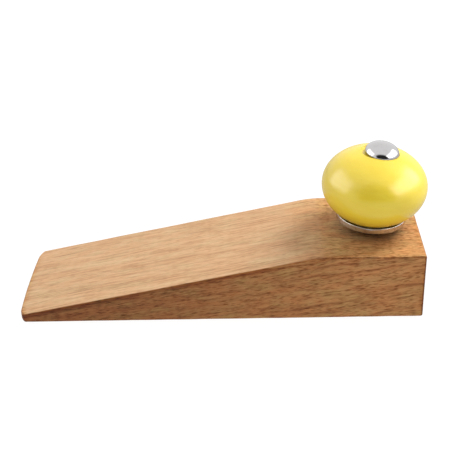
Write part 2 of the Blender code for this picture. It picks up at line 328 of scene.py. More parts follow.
def window(azimuth, elevation, half_width, half_height, dip=0, soft=0.16):
    """A rectangle in the sky, 1 inside and 0 outside, with soft edges. Its sizes are tangents."""
    out = away_from_object(azimuth, elevation)
    side = away_from_object(azimuth + 90, 0)
    side.rotate(Matrix.Rotation(math.radians(dip), 3, out))
    ahead = along(out)
    shape = ahead.between(0.0, 0.1)
    for way, half in ((side, half_width), (out.cross(side), half_height)):
        shape = shape * (along(way) / ahead).abs().between(half + soft, half - soft)
    return shape


toward_front = along(CAMERA_SIDE).between(FRONT_DARK_FROM, FRONT_DARK_TO)
right_window = window(84, 31, 0.76, 0.31, dip=-8)
left_window = window(-96, 25, 0.50, 0.36, dip=8)
overhead = along((0, 0, 1)).between(OVERHEAD_FROM, OVERHEAD_TO)
matt = LOW_GLOW + (HIGH_GLOW - LOW_GLOW) * overhead + LEFT_FILL * left_window
polished = ROOM_REFLECTED + (FRONT_REFLECTED - ROOM_REFLECTED) * toward_front
polished = polished + RIGHT_WINDOW_GLOW * right_window + LEFT_WINDOW_GLOW * left_window
in_gloss = room.add("ShaderNodeLightPath", output="Is Glossy Ray")
glow = matt + (polished - matt) * in_gloss
seen_directly = room.add("ShaderNodeLightPath", output="Is Camera Ray")
strength = seen_directly + (1 - seen_directly) * glow
backdrop = room.add("ShaderNodeBackground", {}, {"Color": rgb(1, 1, 1), "Strength": strength})
room.add("ShaderNodeOutputWorld", {}, {"Surface": backdrop}, output=None)

# %% Hang the key lamp
KEY_SIDE = 0.34
KEY_RADIANCE = 15.6
KEY_DISTANCE = 0.80
KEY_AIM = Vector((0.02, 0, 0.03))
KEY_WAY = away_from_object(117, 48)

key_data = bpy.data.lights.new("key_lamp", "AREA")
key_data.shape = "SQUARE"
key_data.size = KEY_SIDE
key_data.energy = KEY_RADIANCE * math.pi * KEY_SIDE**2
key = bpy.data.objects.new("key_lamp", key_data)
bpy.context.scene.collection.objects.link(key)
key.location = KEY_AIM + KEY_WAY * KEY_DISTANCE
key.rotation_euler = KEY_WAY.to_track_quat("Z", "Y").to_euler()
key.visible_camera = False
key.visible_glossy = False
print("key lamp at", [round(x, 3) for x in key.location])

# %% Lay the floor, which is lit from within like a light table, so that it stays white
FLOOR_HALF = 3.0
FLOOR_DROP = 0.02 * MM  # so that it doesn't share a plane with the block's own floor face
FLOOR_GLOW = rgb(0.95, 0.95, 0.95)
FLOOR_REFLECTED = rgb(0.50, 0.50, 0.50)

floor_mesh = bpy.data.meshes.new("floor")
corners = [(-1, -1), (1, -1), (1, 1), (-1, 1)]
floor_corners = [(x * FLOOR_HALF, y * FLOOR_HALF, -FLOOR_DROP) for x, y in corners]
floor_mesh.from_pydata(floor_corners, [], [(0, 1, 2, 3)])
floor = bpy.data.objects.new("floor", floor_mesh)
bpy.context.scene.collection.objects.link(floor)
material, table = new_finish("lit_table")
in_gloss = table.add("ShaderNodeLightPath", output="Is Glossy Ray")
glowing = {"Emission Color": table.mixed(in_gloss, FLOOR_GLOW, FLOOR_REFLECTED), "Emission Strength": 1.0}
close_finish(table, rgb(0.08, 0.08, 0.08), 0.8, **glowing)
floor_mesh.materials.append(material)
print("studio ready")

# %% [markdown]
# ## The wood
# The wedge is cut from a straight-grained, open-pored hardwood. Wood is a solid pattern: the same
# growth layers show as long lines on the slope, as streaks on the side and as arcs on the heel's end
# grain. So the finish is worked out in three dimensions, in a space whose first axis runs along the
# fibres, and the block is then simply cut out of it.

# %% Lay out the grain
GRAIN_RISE = math.radians(9.0)
PITH_Y, PITH_Z = 30.0, 92.0  # mm, the middle of the tree, across the fibres


def fibre_space(wood):
    """The place in the wood, in mm, with X along the fibres, which rise towards the heel and wander."""
    place = wood.object_place()
    turned = wood.add("ShaderNodeMapping", {}, {"Vector": place, "Rotation": (0, GRAIN_RISE, 0)})
    wander = wood.moved(wood.noise(turned, (80.0, 26.0, 26.0), 1.0, 0.5, "Color"), (-0.5, -0.5, -0.5))
    drift = wood.moved(turned, wood.scaled(wander, (0.0, 4.0, 4.0)))
    ripple = wood.moved(wood.noise(turned, (12.0, 3.0, 3.0), 1.0, 0.5, "Color"), (-0.5, -0.5, -0.5))
    return wood.moved(drift, wood.scaled(ripple, (0.0, 0.55, 0.55)))


# %% Layers and pores


def growth_bands(wood, fibres):
    """Irregular bands that follow the growth rings round the pith, from 0 to 1."""
    from_pith = wood.scaled(wood.moved(fibres, (0.0, -PITH_Y, -PITH_Z)), (0.0, 1.0, 1.0))
    return wood.layers(wood.length(from_pith), 0.38, 3.0)


def pores(wood, fibres, length, spacing, radius, share):
    """Short open vessels, 1 inside one and 0 outside. share is how many of them are open."""
    cells = wood.scaled(fibres, (1 / length, 1 / spacing, 1 / spacing))
    settings = {"feature": "F1", "distance": "EUCLIDEAN"}
    inputs = {"Vector": cells, "Scale": 1.0, "Randomness": 1.0}
    distance = wood.add("ShaderNodeTexVoronoi", settings, inputs, "Distance")
    colour = wood.add("ShaderNodeTexVoronoi", settings, inputs, "Color")
    chance = wood.add("ShaderNodeSeparateColor", {}, {"Color": colour}, "Red")
    reach = radius / spacing
    return distance.between(1.25 * reach, 0.45 * reach) * chance.between(1 - share, 1.1 - share)


# %% Which way the wood was cut there
ACROSS = (0.0, 1.0, 0.0)
ALONG_FIBRES = (math.cos(GRAIN_RISE), 0.0, math.sin(GRAIN_RISE))
RIDGE_SHADE_FROM, RIDGE_SHADE_TO = -20, 4  # mm from the ridge, where the slope takes on the seat's darker tone as painted shade of the knob's shadow
# how much of the seat's tone is painted onto the slope there, as painted shade
RIDGE_SHADE_SHARE = 0.55


def cut_faces(wood):
    """How far a face is the block's side, cuts up through the fibres like the seat, or cuts across. The seat's
    share also spreads onto the slope near the ridge, as painted shade.
    """
    facing = wood.add("ShaderNodeTexCoord", output="Normal")
    sideways, end_on = (wood.dot(facing, way).abs() for way in (ACROSS, ALONG_FIBRES))
    on_side = sideways.between(0.3, 0.8)
    from_ridge = wood.axis(wood.object_place(), "X") - RIDGE_X / MM
    # painted shade: the slope near the ridge takes part of the seat's darker tone, where the knob's shadow falls
    ridge_shade = from_ridge.between(RIDGE_SHADE_FROM, RIDGE_SHADE_TO) * (1 - on_side) * RIDGE_SHADE_SHARE
    seat_and_ridge_shade = ridge_shade.math("MAXIMUM", ridge_shade, end_on.between(0.0, 0.20))
    return on_side, seat_and_ridge_shade, end_on.between(0.35, 0.9)


def ragged_edges(wood):
    """Where the heel's edges and the seat's are torn: the fibres end there, and dirt sticks in them."""
    place = wood.object_place()
    x, y, z = (wood.axis(place, name) for name in "XYZ")
    from_heel = HEEL_X / MM - x
    from_side = HALF_WIDTH / MM - y.abs()
    from_seat = SEAT_Z / MM - z
    lumps = wood.noise(place, (2.6, 2.6, 1.1), 3.0, 0.7)
    upright = from_side.math("MAXIMUM", from_side, from_heel)
    level = from_side.math("MAXIMUM", from_side, from_seat)
    on_upright = (upright + 1.6 * lumps).between(1.75, 1.25)
    on_level = (level + 2.4 * lumps).between(2.0, 1.45) * x.between(RIDGE_X / MM - 14, RIDGE_X / MM + 4)
    return on_upright.math("MAXIMUM", on_upright, 0.8 * on_level)


# %% The dark streak
STREAK_DEPTH = 0.9  # mm under the slope, at the near side
STREAK_WIDTH = 1.7
STREAK_DIP = 0.9  # how steeply it dives away from that side
STREAK_SWAY = 2.4  # mm from one side of its line to the other


def dark_streak(wood, fibres):
    """A darker layer that comes out along the slope's near edge, broken where it fades, from 0 to 1."""
    from_slope = wood.moved(wood.object_place(), tuple(-SLOPE_POINT / MM))
    depth = -1.0 * wood.dot(from_slope, SLOPE_NORMAL)
    from_side = wood.axis(wood.object_place(), "Y") + HALF_WIDTH / MM
    sway = wood.noise(fibres, (26.0, 6.0, 6.0), 2.0, 0.6)
    off = (depth - STREAK_DIP * from_side - STREAK_DEPTH + (sway - 0.5) * STREAK_SWAY).abs()
    broken = wood.noise(wood.moved(fibres, (9.0, 0.0, 0.0)), (22.0, 2.2, 2.2), 2.0, 0.6).between(0.30, 0.50)
    return off.between(STREAK_WIDTH, 0.25) * broken * from_side.between(5.0, 1.5) * depth.between(0.0, 0.25)


# %% The drill's marks


def drill_scoring(wood):
    """Fine rings round the bolt, where a drill has scored the wood, from 0 to 1."""
    about_bolt = wood.add(
        "ShaderNodeMapping",
        {"vector_type": "TEXTURE"},
        {"Vector": wood.object_place(), "Location": tuple(KNOB_MIDDLE / MM), "Rotation": (0, LEAN, 0)},
    )
    return wood.layers(wood.length(wood.scaled(about_bolt, (1.0, 1.0, 0.0))), 5.0, 1.0)


# %% The waxed wood
BRIGHT_WOOD = rgb(0.66, 0.43, 0.25)
SIDE_SOAK = rgb(0.585, 0.415, 0.246)
# the seat's own darker tone, also painted onto the slope near the ridge as painted shade
SEAT_SOAK_AND_SHADE = rgb(0.93, 0.79, 0.52)
END_SOAK = rgb(0.60, 0.48, 0.36)
STREAK_STAIN = rgb(0.66, 0.46, 0.27)
PORE_STAIN = rgb(0.52, 0.38, 0.23)
# painted shade and light on the block's sides: darker at the toe, lighter at the heel
TOE_SIDE_SHADE = rgb(0.70, 0.60, 0.52)
HEEL_SIDE_LIGHT = rgb(1.24, 1.29, 1.27)
DIRT = rgb(0.30, 0.20, 0.15)
DRILLED_SOAK = rgb(0.42, 0.33, 0.27)
UNTINTED, ROSY, CREAM = rgb(1.0, 1.0, 0.99), rgb(1.04, 0.88, 0.82), rgb(1.02, 1.14, 1.10)
STRAND_TONES = [
    (0.20, (0.60, 0.50, 0.42)),
    (0.42, (0.88, 0.84, 0.80)),
    (0.56, (1.0, 1.0, 1.0)),
    (0.80, (1.12, 1.18, 1.24)),
]


def hardwood(name, drilled=False):
    """The wood, waxed where it is sanded, or rough and scored where a drill has cut it."""
    material, wood = new_finish(name)
    fibres = fibre_space(wood)
    bands = growth_bands(wood, fibres)
    strands = wood.noise(fibres, (44.0, 0.85, 0.85), 3.0, 0.62)
    lines = wood.noise(fibres, (15.0, 0.48, 0.48), 2.0, 0.55)
    patches = wood.noise(wood.moved(fibres, (40.0, 7.0, 3.0)), (12.0, 4.0, 4.0), 3.0, 0.6)
    mottle = wood.noise(wood.moved(fibres, (11.0, 2.0, 8.0)), (5.0, 1.1, 1.1), 3.0, 0.65)
    on_side, seat_and_ridge_shade, on_end = cut_faces(wood)
    open_face = on_side.math("MAXIMUM", on_side, seat_and_ridge_shade)
    large = pores(wood, fibres, length=4.2, spacing=0.56, radius=0.19, share=0.48)
    elsewhere = wood.moved(fibres, (3.0, 9.0, 5.0))
    small = pores(wood, elsewhere, length=2.6, spacing=0.42, radius=0.16, share=0.72)

    streaks = (bands - 0.5) * 0.35 + (strands - 0.5) * 0.75 + (lines - 0.5) * 0.7
    streaks = streaks + (mottle - 0.5) * open_face * 1.3
    ground = wood.add("ShaderNodeValToRGB", {"stops": STRAND_TONES}, {"Fac": 0.5 + streaks})
    rosy = patches.between(0.40, 0.62)
    cream = patches.between(0.46, 0.34)
    tint = wood.mixed(rosy * (0.35 + 0.5 * open_face), UNTINTED, ROSY)
    tint = wood.mixed(cream * (0.25 + 0.5 * open_face), tint, CREAM)
    colour = wood.mixed(1.0, wood.mixed(1.0, BRIGHT_WOOD, ground, "MULTIPLY"), tint, "MULTIPLY")
    # the seat's tone goes on the seat and, as painted shade, onto the slope near the ridge
    for share, soak in ((on_side, SIDE_SOAK), (seat_and_ridge_shade, SEAT_SOAK_AND_SHADE), (on_end, END_SOAK)):
        colour = wood.mixed(share, colour, soak, "MULTIPLY")
    # painted light and shade: the sides are painted darker towards the toe and lighter towards the heel, where
    # more light falls
    toward_heel = wood.axis(wood.object_place(), "X").between(TOE_X / MM, HEEL_X / MM)
    painted_side_light = wood.mixed(toward_heel, TOE_SIDE_SHADE, HEEL_SIDE_LIGHT)
    colour = wood.mixed(on_side, colour, painted_side_light, "MULTIPLY")
    colour = wood.mixed(dark_streak(wood, fibres) * 0.85, colour, STREAK_STAIN, "MULTIPLY")
    open_pores = (large * 0.90 + small * 0.75) * (0.20 + 0.80 * open_face)
    colour = wood.mixed(open_pores, colour, PORE_STAIN, "MULTIPLY")
    colour = wood.mixed(ragged_edges(wood) * 0.75, colour, DIRT, "MULTIPLY")
    roughness = 0.48 + 0.16 * lines + 0.14 * open_pores
    height = 0.6 * lines + 0.4 * strands - 1.4 * open_pores
    if drilled:
        scored = drill_scoring(wood)
        colour = wood.mixed(0.30 + 0.45 * scored, colour, DRILLED_SOAK, "MULTIPLY")
        roughness = 0.78 + 0.10 * scored
        height = height * 0.5 + 1.2 * scored
    close_finish(wood, colour, roughness, height, 0.06 * MM, **{"Specular IOR Level": 0.22})
    return material


WOOD = hardwood("waxed_hardwood")
DRILLED_WOOD = hardwood("drilled_hardwood", drilled=True)
print("wood nodes:", len(WOOD.node_tree.nodes))

# %% [markdown]
# ## The wedge
# A lattice of points covers a sharp-edged box. Each point is moved onto the wedge, and any point
# within the easing distance of an edge is then pulled onto a small round, as sandpaper would leave
# it. Working on a lattice keeps the faces even, and lets the easing and the chips vary along an edge.

# %% The wedge's outline
RIDGE_RADIUS = 40 * MM
TOE_BOW = 0.8 * MM
TOE_CORNER = 4.5 * MM
TOE_CORNER_PULL = 1.5 * MM
TOE_FADE = 9 * MM


def top_height(x):
    """The height of the wedge's upper side, with the ridge sanded to a soft round."""
    slope = SEAT_Z + (x - RIDGE_X) * SLOPE_RISE
    blend = RIDGE_RADIUS * math.tan(math.atan(SLOPE_RISE) / 2)
    from_ridge = x - RIDGE_X
    if abs(from_ridge) >= blend:
        return min(slope, SEAT_Z)
    return SEAT_Z - (blend - from_ridge) ** 2 / (2 * RIDGE_RADIUS)


def toe_pull(y):
    """How far the toe's end is drawn back at this distance from the middle: a bow with rounded corners."""
    corner = max(0.0, abs(y) - (HALF_WIDTH - TOE_CORNER)) / TOE_CORNER
    return TOE_BOW * (y / HALF_WIDTH) ** 2 + TOE_CORNER_PULL * corner**2


def clamp(value, low, high):
    return min(max(value, low), high)


def smooth(value):
    """0 at 0 or less, 1 at 1 or more, and smooth between them."""
    value = clamp(value, 0.0, 1.0)
    return value * value * (3 - 2 * value)


# %% Lattice lines


def edge_strip(ease):
    """How far past the inner line each line of an eased strip lies, to share its round evenly."""
    return [ease * math.tan(math.radians(angle)) for angle in (15, 30, 45)]


def lattice_lines(low, high, step):
    """Positions from low to high: close over the eased edges, and about a step apart between them."""
    inner_low, inner_high = low + EASE, high - EASE
    count = round((inner_high - inner_low) / step)
    middle = [inner_low + (inner_high - inner_low) * i / count for i in range(count + 1)]
    strip = edge_strip(EASE)
    return [inner_low - s for s in reversed(strip)] + middle + [inner_high + s for s in strip]


EASE = 0.75 * MM
CELL = 1.6 * MM
SIDE_ROWS = 18
x_lines = lattice_lines(TOE_X, HEEL_X, CELL)
y_lines = lattice_lines(-HALF_WIDTH, HALF_WIDTH, CELL)
z_lines = [(0, -s) for s in reversed(edge_strip(EASE))]
z_lines += [(row / SIDE_ROWS, 0) for row in range(SIDE_ROWS + 1)]
z_lines += [(1, s) for s in edge_strip(EASE)]
print("lattice", len(x_lines), "x", len(y_lines), "x", len(z_lines))

# %% Sand the wedge
SANDING_WAVE = 0.05 * MM
CHIP_DEPTH = 0.40 * MM
SHARP_EDGE_EXCESS = 0.41  # how much farther out a sharp edge is than its round, as a share of the round


def ease_at(point):
    """The easing of the edges there, which a hand with sandpaper never keeps quite the same."""
    return EASE * (1 + 0.2 * noise.noise(point / (9 * MM)))


def chip_depth(point):
    """How deep the edge has chipped there: most on the heel's corners, where the fibres end."""
    at_heel = smooth((point.x - HEEL_X) / (1.2 * MM) + 1.3)
    at_seat = 0.5 * smooth((point.x - RIDGE_X) / (8 * MM) + 0.6)
    lumps = noise.noise(Vector((point.x / 1.5, point.y / 2.2, point.z / 1.1)) / MM)
    return CHIP_DEPTH * max(at_heel, at_seat) * smooth((lumps - 0.02) / 0.35)


def sanded(i, j, k):
    """A lattice corner's place on the finished wedge."""
    x, y, (share, offset) = x_lines[i], y_lines[j], z_lines[k]
    end = TOE_X + toe_pull(y)
    x += toe_pull(y) * (1 - smooth((x - TOE_X) / TOE_FADE))
    top = top_height(x)
    sharp = Vector((x, y, EASE + share * (top - 2 * EASE) + offset))
    ease = ease_at(sharp)
    inner = Vector(
        (
            clamp(x, end + ease, HEEL_X - ease),
            clamp(y, -HALF_WIDTH + ease, HALF_WIDTH - ease),
            clamp(sharp.z, ease, top - ease),
        )
    )
    outward = (sharp - inner).normalized()
    edgeness = clamp(((sharp - inner).length / ease - 1) / SHARP_EDGE_EXCESS, 0, 1)
    wave = SANDING_WAVE * (0.5 + 0.5 * noise.noise(sharp / (16 * MM)))
    finished = inner + outward * (ease - chip_depth(sharp) * edgeness - wave)
    if k == 0:
        finished.z = max(0.0, (inner + outward * ease).z)
    return finished


# %% Close the lattice into a solid


def lattice_solid(counts, place):
    """The six sides of a block of lattice cells, with place giving each corner's position."""
    shape = bmesh.new()
    made = {}

    def corner(*index):
        if index not in made:
            made[index] = shape.verts.new(place(*index))
        return made[index]

    for axis in range(3):
        first, second = (axis + 1) % 3, (axis + 2) % 3
        for level in (0, counts[axis]):
            for a in range(counts[first]):
                for b in range(counts[second]):
                    quad = []
                    for da, db in ((0, 0), (1, 0), (1, 1), (0, 1)):
                        index = [0, 0, 0]
                        index[axis], index[first], index[second] = level, a + da, b + db
                        quad.append(corner(*index))
                    shape.faces.new(quad if level else quad[::-1])
    return shape


wedge_shape = lattice_solid((len(x_lines) - 1, len(y_lines) - 1, len(z_lines) - 1), sanded)
print("wedge faces:", len(wedge_shape.faces))

# %% [markdown]
# ## Turned pieces
# Everything on the bolt is turned: one profile, swept round the axis. The profile runs from the top
# down the outside, as a lathe tool would follow it. A profile that starts and ends on the axis closes
# by itself, and one that doesn't is a ring and is closed on itself.

# %% Sweep a profile round the axis


def arc(centre, reach, start, end, steps):
    """Points along an elliptical arc round centre, from the angle start to end in degrees."""
    points = []
    for step in range(steps + 1):
        angle = math.radians(start + (end - start) * step / steps)
        points.append((centre[0] + reach[0] * math.cos(angle), centre[1] + reach[1] * math.sin(angle)))
    return points


def turned_shape(profile, steps, swell=None):
    """A turned solid about its own Z axis. swell may move each point in or out a little."""
    shape = bmesh.new()
    rings = []
    for radius, height in profile:
        if radius == 0:
            rings.append([shape.verts.new((0, 0, height))] * steps)
            continue
        ring = []
        for step in range(steps):
            angle = 2 * math.pi * step / steps
            reach = radius + (swell(radius, height, angle) if swell else 0)
            ring.append(shape.verts.new((reach * math.cos(angle), reach * math.sin(angle), height)))
        rings.append(ring)
    closed = profile[0][0] > 0
    for index in range(len(rings) if closed else len(rings) - 1):
        upper, lower = rings[index], rings[(index + 1) % len(rings)]
        for step in range(steps):
            after = (step + 1) % steps
            quad = [upper[step], lower[step], lower[after], upper[after]]
            shape.faces.new(list(dict.fromkeys(quad)))
    return shape


def rounded(profile, radius, steps=3):
    """The profile with every corner sharper than 25 degrees eased to a small round."""
    count = len(profile)
    is_ring = profile[0][0] > 0
    eased = []
    for index, point in enumerate(profile):
        if not is_ring and index in (0, count - 1):
            eased.append(point)
            continue
        here = Vector(point)
        before = Vector(profile[index - 1]) - here
        after = Vector(profile[(index + 1) % count]) - here
        if math.degrees(before.angle(after)) > 155:
            eased.append(point)
            continue
        cut = min(radius, 0.45 * before.length, 0.45 * after.length)
        start, end = here + before.normalized() * cut, here + after.normalized() * cut
        for step in range(steps + 1):
            share = step / steps
            on_curve = start.lerp(here, share).lerp(here.lerp(end, share), share)
            eased.append((on_curve.x, on_curve.y))
    return eased


# %% Hand a shape over as a finished piece


def make_piece(name, shape, finish, body, node, place=KNOB_FRAME):
    """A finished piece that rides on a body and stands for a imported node."""
    mesh = bpy.data.meshes.new(name)
    shape.to_mesh(mesh)
    shape.free()
    mesh.materials.append(finish)
    mesh.shade_smooth()
    mesh.set_sharp_from_angle(angle=math.radians(35))
    piece = bpy.data.objects.new(name, mesh)
    bpy.context.scene.collection.objects.link(piece)
    piece.matrix_world = place
    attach(piece, body)
    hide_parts(node)
    print(name, "faces:", len(mesh.polygons))
    return piece


def cut_with(piece, cutter_shape, operation="DIFFERENCE", finish=None, place=KNOB_FRAME):
    """Cuts a piece with a shape. The new faces take the finish, if there is one."""
    mesh = bpy.data.meshes.new("cutter")
    cutter_shape.to_mesh(mesh)
    cutter_shape.free()
    mesh.materials.append(finish or piece.data.materials[0])
    cutter = bpy.data.objects.new("cutter", mesh)
    bpy.context.scene.collection.objects.link(cutter)
    cutter.matrix_world = place
    cut = piece.modifiers.new("cut", "BOOLEAN")
    cut.operation = operation
    cut.solver = "EXACT"
    cut.object = cutter
    cut.material_mode = "TRANSFER"
    bpy.context.view_layer.update()
    made = bpy.data.meshes.new_from_object(piece.evaluated_get(bpy.context.evaluated_depsgraph_get()))
    piece.modifiers.clear()
    made.name = piece.name
    piece.data = made
    bpy.data.objects.remove(cutter)
    made.shade_smooth()
    made.set_sharp_from_angle(angle=math.radians(35))


# %% [markdown]
# ## Drilling the wedge
# Two drills go in from below along the bolt: a wide flat-bottomed one that leaves room for the nut, and
# the bolt's own. The wide one scores a groove round its floor, and both mouths are lightly countersunk,
# square to the block's faces. The drilled faces get a rougher wood, since wax and sandpaper never
# reach them.

# %% Drill the wedge
WIDE_DRILL_FROM, WIDE_DRILL_TO = 9 * MM, 11 * MM  # between these radii and below this height
RECESS_BELOW = -25 * MM  # there is nothing but the recess's wall
recess_outline = [
    (radius, height)
    for radius, height in outline_points("wedge_block")
    if WIDE_DRILL_FROM < radius < WIDE_DRILL_TO and height < RECESS_BELOW
]
RECESS_RADIUS = max(radius for radius, height in recess_outline)
RECESS_TOP_Z = max(height for radius, height in recess_outline)
BOLT_HOLE_RADIUS = min(radius for radius, height in outline_points("wedge_block"))
BEYOND = 5 * MM
ABOVE_SEAT = SEAT_Z - KNOB_MIDDLE.z + BEYOND
BELOW_FLOOR = -KNOB_MIDDLE.z - BEYOND
drill_profile = [
    (0, ABOVE_SEAT),
    (BOLT_HOLE_RADIUS, ABOVE_SEAT),
    (BOLT_HOLE_RADIUS, RECESS_TOP_Z),
    (RECESS_RADIUS - 0.7 * MM, RECESS_TOP_Z),
    (RECESS_RADIUS - 0.15 * MM, RECESS_TOP_Z + 0.35 * MM),
    (RECESS_RADIUS, RECESS_TOP_Z - 0.1 * MM),
    (RECESS_RADIUS, BELOW_FLOOR),
    (0, BELOW_FLOOR),
]
wedge = make_piece(
    "wooden_wedge", wedge_shape, WOOD, "wedge", "wedge_block", place=Matrix.Identity(4)
)
cut_with(wedge, turned_shape(drill_profile, 96), finish=DRILLED_WOOD)
print("recess", round(RECESS_RADIUS, 5), round(RECESS_TOP_Z, 5), "bolt hole", round(BOLT_HOLE_RADIUS, 5))

# %% Countersink both mouths
MOUTH = 0.45 * MM


def countersink(radius, height, turn):
    """Eases the mouth of the hole in the level face at that height. turn faces the tool up or down."""
    down_bolt = BOLT_WAY * ((height - KNOB_MIDDLE.z) / BOLT_WAY.z)
    place = Matrix.Translation(KNOB_MIDDLE + down_bolt) @ Matrix.Rotation(turn, 4, "X")
    outer, inner = radius + MOUTH + BEYOND, radius - MOUTH
    cone = [(0, BEYOND), (outer, BEYOND), (inner, -2 * MOUTH), (0, -2 * MOUTH)]
    cut_with(wedge, turned_shape(cone, 96), finish=DRILLED_WOOD, place=place)


countersink(BOLT_HOLE_RADIUS, SEAT_Z, 0)
countersink(RECESS_RADIUS, 0, math.pi)
print("wedge faces:", len(wedge.data.polygons))

# %% [markdown]
# ## The glazed knob
# A slip-cast ball of white clay, dipped in yellow glaze and fired standing on its foot. The glaze is
# thick and glossy, a little uneven where it ran, and it is wiped off the foot before firing. A cast
# ball is never quite round, so the sweep is allowed to swell by a few hundredths of a millimetre.

# %% The glaze
DEEP_YELLOW, CLEAR_YELLOW = rgb(0.89, 0.66, 0.042), rgb(0.95, 0.725, 0.058)
# deeper towards the bottom: partly glaze that pooled, partly painted shade on the knob's lower side
POOLED_AND_SHADED_YELLOW = rgb(0.68, 0.43, 0.018)
POOL_AND_SHADE_FROM, POOL_AND_SHADE_TO = 3.0, -12.5  # mm above the ceramic's middle
SPECK = rgb(0.50, 0.30, 0.05)
BARE_CLAY = rgb(0.78, 0.73, 0.64)


def yellow_glaze():
    """Thick glossy glaze: cloudy, with runs, deeper towards the bottom, where it pools and as painted shade, and
    wiped off the foot.
    """
    material, glaze = new_finish("yellow_glaze")
    place = glaze.object_place()
    clouds = glaze.noise(place, 11.0, 2.0, 0.5)
    runs = glaze.noise(place, (9.0, 9.0, 1.6), 3.0, 0.55)
    height = glaze.axis(place, "Z")
    tone = clouds.between(0.30, 0.70) * 0.6 + runs.between(0.35, 0.65) * 0.4
    ground = glaze.mixed(tone, DEEP_YELLOW, CLEAR_YELLOW)
    # partly pooled glaze and partly painted shade: the lower part is painted deeper and more orange
    pooled_and_shaded = glaze.mixed(height.between(POOL_AND_SHADE_FROM, POOL_AND_SHADE_TO) * 0.8, ground, POOLED_AND_SHADED_YELLOW)
    cells = {"Vector": glaze.scaled(place, (0.7, 0.7, 0.7)), "Scale": 1.0}
    specks = glaze.add("ShaderNodeTexVoronoi", {"feature": "F1"}, cells, "Distance")
    speckled = glaze.mixed(specks.between(0.10, 0.04) * 0.35, pooled_and_shaded, SPECK)
    bare = height.between(KNOB_FOOT_Z / MM + 0.9, KNOB_FOOT_Z / MM + 0.6)
    colour = glaze.mixed(bare, speckled, BARE_CLAY)
    roughness = 0.19 + 0.06 * clouds + 0.6 * bare
    skin = glaze.noise(place, 2.6, 1.0, 0.4)
    close_finish(glaze, colour, roughness, skin + 0.6 * runs, 0.035 * MM, **{"IOR": 1.6})
    return material


GLAZE = yellow_glaze()

# %% Turn the knob
CLEARANCE = 0.3 * MM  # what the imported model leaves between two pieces
CAST_UNEVENNESS = 0.06 * MM
SEAT_DIMPLE_Z = reach_of("finial_washer")[1] - CLEARANCE
knob_foot_inner = min(radius for radius, height in knob_outline if height < KNOB_FOOT_Z + TIP)


def side_angle(radius):
    return math.degrees(math.acos(radius / KNOB_RADIUS))


def cast_swell(radius, height, angle):
    """The slight unevenness of a cast and hand-glazed ball, always inwards from the designed size."""
    place = Vector((math.cos(angle) * radius, math.sin(angle) * radius, height))
    if radius <= KNOB_SEAT_RADIUS:
        return 0.0
    return -CAST_UNEVENNESS * (0.5 + 0.5 * noise.noise(place / (14 * MM)))


recess_top = reach_of("lock_washer")[2] + CLEARANCE
knob_profile = [
    (KNOB_SEAT_RADIUS, SEAT_DIMPLE_Z),
    *arc((0, 0), (KNOB_RADIUS, KNOB_UPPER_HEIGHT), side_angle(KNOB_SEAT_RADIUS), 0, 36),
    *arc((0, 0), (KNOB_RADIUS, KNOB_LOWER_HEIGHT), 0, -side_angle(KNOB_FOOT_RADIUS), 36)[1:],
    (KNOB_FOOT_RADIUS, KNOB_FOOT_Z),
    (knob_foot_inner, KNOB_FOOT_Z),
    (knob_foot_inner, recess_top),
    (KNOB_BORE_RADIUS, recess_top),
    (KNOB_BORE_RADIUS, SEAT_DIMPLE_Z),
]
knob_shape = turned_shape(rounded(knob_profile, 0.35 * MM), 144, swell=cast_swell)
knob = make_piece("glazed_knob", knob_shape, GLAZE, "knob", "ceramic_knob")

# %% [markdown]
# ## Bright plated metal
# The finial and the saucer are spun from thin brass, polished and chromium plated. Chromium reflects
# rather more than half of the light, and hardly colours it. What makes it look real is what it isn't:
# perfectly clean, so fine polishing lines and fingerprints change its roughness a little.

# %% The chrome
CLEAN_CHROME, SMUDGED_CHROME = rgb(0.53, 0.52, 0.52), rgb(0.47, 0.455, 0.45)
# the colour of the painted shade on the saucer's underside
PAINTED_UNDERSIDE_SHADE = rgb(0.13, 0.10, 0.08)
PRINT_STRENGTH = 0.10  # how much rougher a fingerprint makes it


def bright_chrome(name, shade_below=None):
    """Bright plating. Below the height given for the underside, if one is given, it is painted dark and made
    rougher: painted shade under the lip.
    """
    material, chrome = new_finish(name)
    place = chrome.object_place()
    smudges = chrome.noise(place, 3.5, 3.0, 0.6).between(0.45, 0.75)
    flat = chrome.scaled(place, (1.0, 1.0, 0.6))
    lines = chrome.layers(chrome.length(flat), 9.0, 2.0)
    colour = chrome.mixed(smudges * 0.5, CLEAN_CHROME, SMUDGED_CHROME)
    roughness = 0.045 + PRINT_STRENGTH * smudges + 0.03 * lines
    if shade_below is not None:
        # painted shade: below that height the chrome is painted dark and rough, for the shadow under the saucer's
        # lip
        in_shade = chrome.axis(place, "Z").between(shade_below / MM + 0.1, shade_below / MM - 0.3)
        colour = chrome.mixed(in_shade, colour, PAINTED_UNDERSIDE_SHADE)
        roughness = roughness + 0.4 * in_shade
    close_finish(chrome, colour, roughness, lines, 0.002 * MM, **{"Metallic": 1.0})
    return material


CHROME = bright_chrome("polished_chrome")

